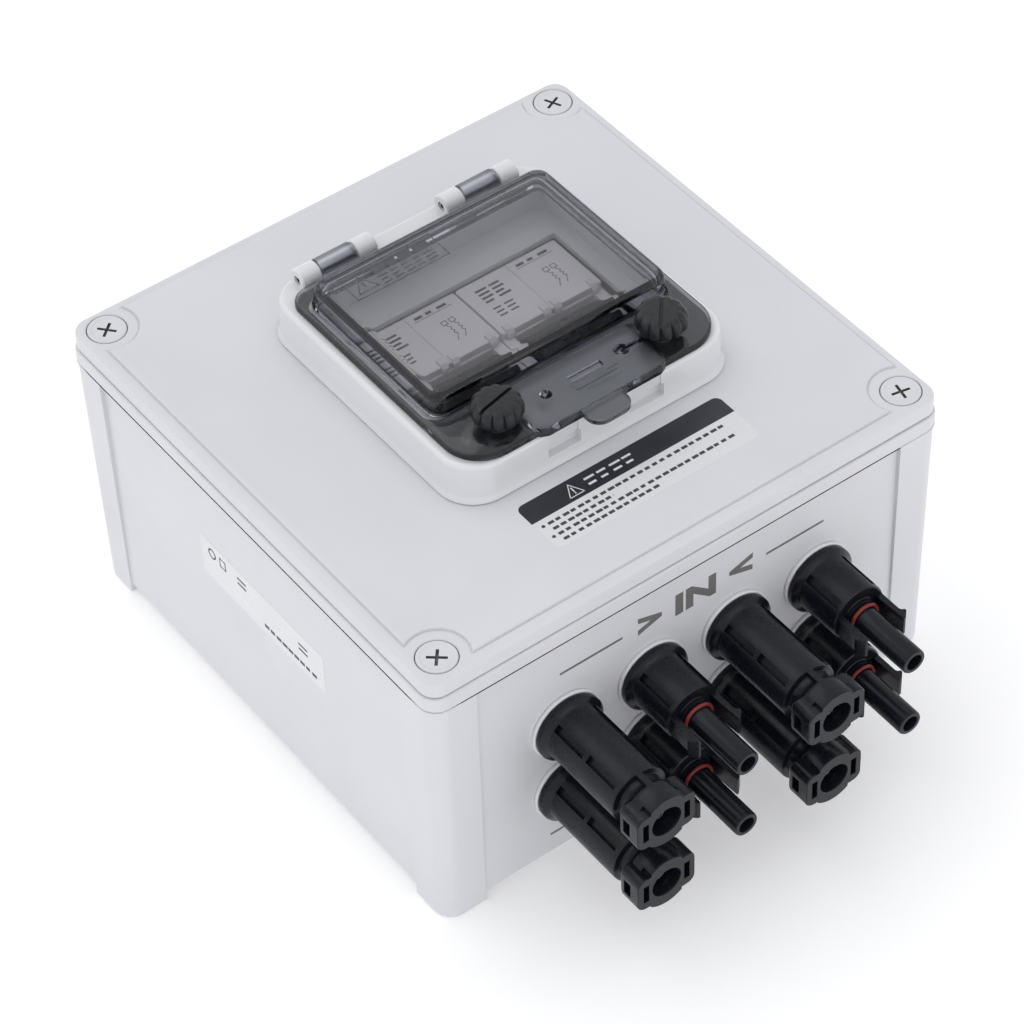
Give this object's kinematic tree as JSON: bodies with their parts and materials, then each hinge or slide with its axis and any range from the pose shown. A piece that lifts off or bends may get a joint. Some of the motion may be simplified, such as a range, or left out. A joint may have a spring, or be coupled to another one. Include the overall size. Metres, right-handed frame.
{
  "type": "dc combiner box",
  "caption": "Surface-mount plastic DC combiner box for solar strings, with a smoke-grey hinged window over toggle breakers and panel connectors on its side walls",
  "frame": {"origin": "centre of the base, on the plane of its feet; the box lies on its back", "axes": "+Z out through the lid, -Y out along the input connectors, +X to the right seen from the input side"},
  "size_m": [0.1762, 0.262, 0.1244],
  "materials": {
    "grey_shell": "fine-grained light grey ABS",
    "white_gloss": "glossy white",
    "smoke_window": "clear smoke-grey polycarbonate",
    "charcoal_knob": "satin charcoal",
    "zinc_steel": "zinc plated",
    "tinned_copper": "bare copper strip",
    "breaker_shell": "pale warm grey",
    "black_handle": "glossy black",
    "black_connector": "satin black",
    "red_oring": "red silicone",
    "grey_gasket": "dark grey foam rubber",
    "red_lead": "red insulation",
    "black_lead": "black insulation"
  },
  "bodies": {
    "case": {"base_enclosure": "grey_shell", "lid_gasket": "grey_gasket", "din_rail": "zinc_steel", "rail_screw_left": "zinc_steel", "rail_screw_right": "zinc_steel", "breaker_left": "breaker_shell", "breaker_right": "breaker_shell", "busbar_positive": "tinned_copper", "busbar_negative": "tinned_copper", "input_socket_1": "black_connector", "input_socket_1_nut": "black_connector", "input_socket_1_lead": "red_lead", "input_plug_1": "black_connector", "input_plug_1_nut": "black_connector", "input_plug_1_lead": "black_lead", "input_oring_1": "red_oring", "input_socket_2": "black_connector", "input_socket_2_nut": "black_connector", "input_socket_2_lead": "red_lead", "input_plug_2": "black_connector", "input_plug_2_nut": "black_connector", "input_plug_2_lead": "black_lead", "input_oring_2": "red_oring", "input_socket_3": "black_connector", "input_socket_3_nut": "black_connector", "input_socket_3_lead": "red_lead", "input_plug_3": "black_connector", "input_plug_3_nut": "black_connector", "input_plug_3_lead": "black_lead", "input_oring_3": "red_oring", "input_socket_4": "black_connector", "input_socket_4_nut": "black_connector", "input_socket_4_lead": "red_lead", "input_plug_4": "black_connector", "input_plug_4_nut": "black_connector", "input_plug_4_lead": "black_lead", "input_oring_4": "red_oring", "output_socket": "black_connector", "output_socket_nut": "black_connector", "output_socket_lead": "red_lead", "output_plug": "black_connector", "output_plug_nut": "black_connector", "output_plug_lead": "black_lead", "output_oring": "red_oring"},
    "lid_assembly": {"lid": "grey_shell", "window_bezel": "white_gloss", "window_seal": "grey_gasket", "hinge_pin_left": "zinc_steel", "hinge_pin_right": "zinc_steel"},
    "cover": {"window_cover": "smoke_window"},
    "knob_left": {"knob_left": "charcoal_knob", "knob_stud_left": "zinc_steel"},
    "knob_right": {"knob_right": "charcoal_knob", "knob_stud_right": "zinc_steel"},
    "handle_left": {"breaker_handle_left": "black_handle"},
    "handle_right": {"breaker_handle_right": "black_handle"},
    "lid_screw_1": {"lid_screw_1": "grey_shell"},
    "lid_screw_2": {"lid_screw_2": "grey_shell"},
    "lid_screw_3": {"lid_screw_3": "grey_shell"},
    "lid_screw_4": {"lid_screw_4": "grey_shell"}
  },
  "joints": [
    {"name": "lid_lift", "type": "slide", "parent": "case", "child": "lid_assembly", "axis": [0, 0, 1], "range_m": [0, 0.12]},
    {"name": "cover_hinge", "type": "hinge", "parent": "lid_assembly", "child": "cover", "pos_m": [0.0032, 0.0474, 0.1149], "axis": [-1, 0, 0], "range_deg": [0, 110]},
    {"name": "knob_left_turn", "type": "hinge", "parent": "cover", "child": "knob_left", "pos_m": [-0.0249, -0.0337, 0.1182], "axis": [0, 0, 1], "continuous": true},
    {"name": "knob_right_turn", "type": "hinge", "parent": "cover", "child": "knob_right", "pos_m": [0.0313, -0.0337, 0.1182], "axis": [0, 0, 1], "continuous": true},
    {"name": "handle_left_toggle", "type": "hinge", "parent": "case", "child": "handle_left", "pos_m": [-0.0147, -0.0056, 0.0962], "axis": [-1, 0, 0], "range_deg": [0, 56]},
    {"name": "handle_right_toggle", "type": "hinge", "parent": "case", "child": "handle_right", "pos_m": [0.0211, -0.0056, 0.0962], "axis": [-1, 0, 0], "range_deg": [0, 56]},
    {"name": "lid_screw_1_turn", "type": "hinge", "parent": "lid_assembly", "child": "lid_screw_1", "pos_m": [-0.0795, -0.0795, 0.0992], "axis": [0, 0, 1], "continuous": true},
    {"name": "lid_screw_2_turn", "type": "hinge", "parent": "lid_assembly", "child": "lid_screw_2", "pos_m": [0.0795, -0.0795, 0.0992], "axis": [0, 0, 1], "continuous": true},
    {"name": "lid_screw_3_turn", "type": "hinge", "parent": "lid_assembly", "child": "lid_screw_3", "pos_m": [0.0795, 0.0795, 0.0992], "axis": [0, 0, 1], "continuous": true},
    {"name": "lid_screw_4_turn", "type": "hinge", "parent": "lid_assembly", "child": "lid_screw_4", "pos_m": [-0.0795, 0.0795, 0.0992], "axis": [0, 0, 1], "continuous": true}
  ]
}
